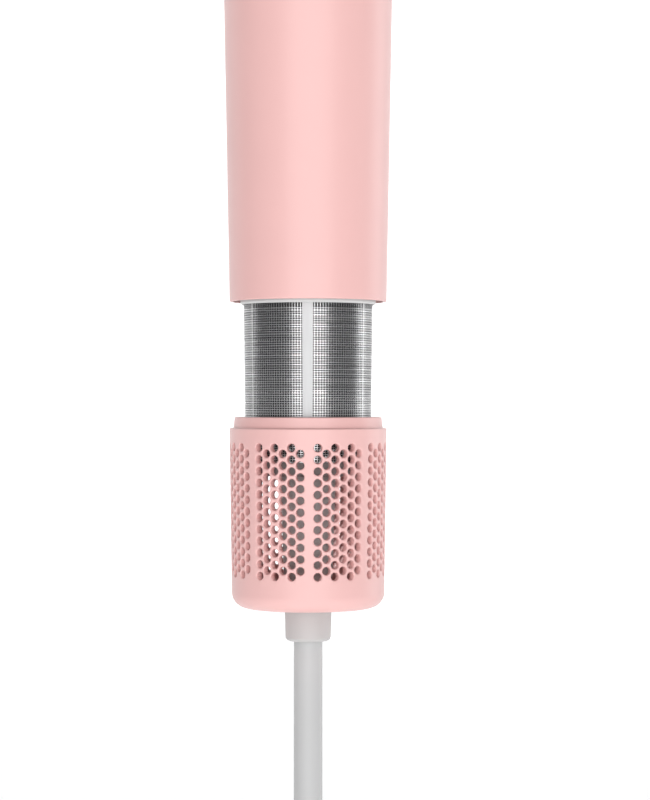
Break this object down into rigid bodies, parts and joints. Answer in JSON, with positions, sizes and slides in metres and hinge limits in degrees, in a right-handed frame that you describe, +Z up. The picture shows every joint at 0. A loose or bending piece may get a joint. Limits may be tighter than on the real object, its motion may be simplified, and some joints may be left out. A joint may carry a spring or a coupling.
{
  "type": "hot air brush",
  "caption": "Hand-held hot air styling brush with a slim tapered handle, pull-down perforated filter cover, mesh inlet filter, round brush head and swivel mains cord.",
  "frame": {"origin": "middle of the hand grip, on the handle's long axis", "axes": "+Z up the handle towards the brush head, -Y towards the thumb and the controls, +X to the right seen from the front"},
  "size_m": [0.0668, 0.059, 0.7354],
  "materials": {
    "pink_shell": "satin moulded pink plastic",
    "panel_pink": "smooth pink plastic, slightly deeper",
    "control_grey": "fine-textured light grey plastic",
    "light_pipe": "frosted clear plastic",
    "white_frame": "white moulded plastic",
    "mesh_steel": "etched stainless mesh",
    "cap_grey": "grey moulded plastic",
    "zinc_screw": "zinc-plated steel",
    "circuit_board": "green solder mask",
    "component_black": "black moulded plastic",
    "motor_plastic": "dark glass-filled plastic",
    "bearing_steel": "polished steel",
    "stator_steel": "laminated steel",
    "copper": "enamelled copper",
    "contact_brass": "bright brass",
    "mount_rubber": "soft black rubber",
    "duct_mica": "pressed mica",
    "duct_plastic": "heat-resistant plastic",
    "heater_wire": "oxidised resistance wire",
    "wire_insulation": "white insulation",
    "trim_metal": "anodised rose aluminium",
    "barrel_metal": "coated rose aluminium",
    "bristle_nylon": "off-white nylon",
    "boot_grey": "soft light grey plastic",
    "cord_grey": "light grey cord sheath",
    "tie_grey": "woven grey strap",
    "pin_nickel": "nickel-plated brass"
  },
  "bodies": {
    "handle": {"handle_shell": "pink_shell", "control_panel": "panel_pink", "indicator_lights": "light_pipe", "control_board": "circuit_board", "board_switches": "component_black", "power_switch": "component_black", "board_screws": "zinc_screw", "filter_frame": "white_frame", "filter_mesh": "mesh_steel", "mesh_seam_strip": "mesh_steel", "filter_end_cap": "cap_grey", "end_cap_screws": "zinc_screw", "swivel_bush": "white_frame", "contact_carrier": "white_frame", "contact_springs": "contact_brass", "motor_housing": "motor_plastic", "diffuser": "motor_plastic", "hub_cap": "motor_plastic", "lower_bearing": "bearing_steel", "upper_bearing": "bearing_steel", "motor_stator": "stator_steel", "motor_windings": "copper", "motor_mount_lower": "mount_rubber", "motor_mount_upper": "mount_rubber", "air_duct": "duct_plastic", "heater_sleeve": "duct_mica", "heater_frame": "duct_mica", "heater_coil": "heater_wire", "thermostat": "component_black", "thermal_fuse": "heater_wire", "mains_board": "circuit_board", "board_components": "component_black", "lead_wires": "wire_insulation", "nozzle_socket": "duct_plastic", "outlet_grille": "duct_plastic", "trim_ring": "trim_metal", "coupling_magnets": "bearing_steel"},
    "rotor": {"impeller": "motor_plastic", "rotor_shaft": "zinc_screw", "rotor_magnet": "bearing_steel"},
    "cover": {"filter_cover": "pink_shell"},
    "slider": {"switch_slider": "control_grey"},
    "cool": {"cool_button": "control_grey"},
    "heat": {"heat_button": "control_grey"},
    "cord": {"strain_relief": "boot_grey", "slip_rings": "contact_brass", "cord_tube": "cord_grey", "cord_hank": "cord_grey", "cord_tie": "tie_grey", "cord_tail": "cord_grey", "plug_body": "boot_grey", "plug_pins": "pin_nickel"},
    "brush": {"brush_base": "pink_shell", "keeper_ring": "zinc_screw", "seal_ring": "mount_rubber", "brush_barrel": "barrel_metal", "bristle_strips": "bristle_nylon", "air_guide": "bristle_nylon", "brush_tip": "pink_shell", "tip_screw": "zinc_screw"}
  },
  "joints": [
    {"name": "filter_cover_slide", "type": "slide", "parent": "handle", "child": "cover", "axis": [0, 0, -1], "range_m": [-0.03195, 0.03]},
    {"name": "power_switch_slide", "type": "slide", "parent": "handle", "child": "slider", "axis": [0, 0, 1], "range_m": [0, 0.008]},
    {"name": "cool_button_press", "type": "slide", "parent": "handle", "child": "cool", "axis": [0, 1, 0], "range_m": [0, 0.0006], "stiffness_N_per_m": 1000},
    {"name": "heat_button_press", "type": "slide", "parent": "handle", "child": "heat", "axis": [0, 1, 0], "range_m": [0, 0.0006], "stiffness_N_per_m": 1000},
    {"name": "fan_spin", "type": "hinge", "parent": "handle", "child": "rotor", "pos_m": [0, 0, -0.03], "axis": [0, 0, 1], "continuous": true},
    {"name": "cord_swivel", "type": "hinge", "parent": "handle", "child": "cord", "pos_m": [0, 0, -0.122], "axis": [0, 0, 1], "continuous": true},
    {"name": "brush_pull", "type": "slide", "parent": "handle", "child": "brush", "axis": [0, 0, 1], "range_m": [0, 0.035]}
  ]
}
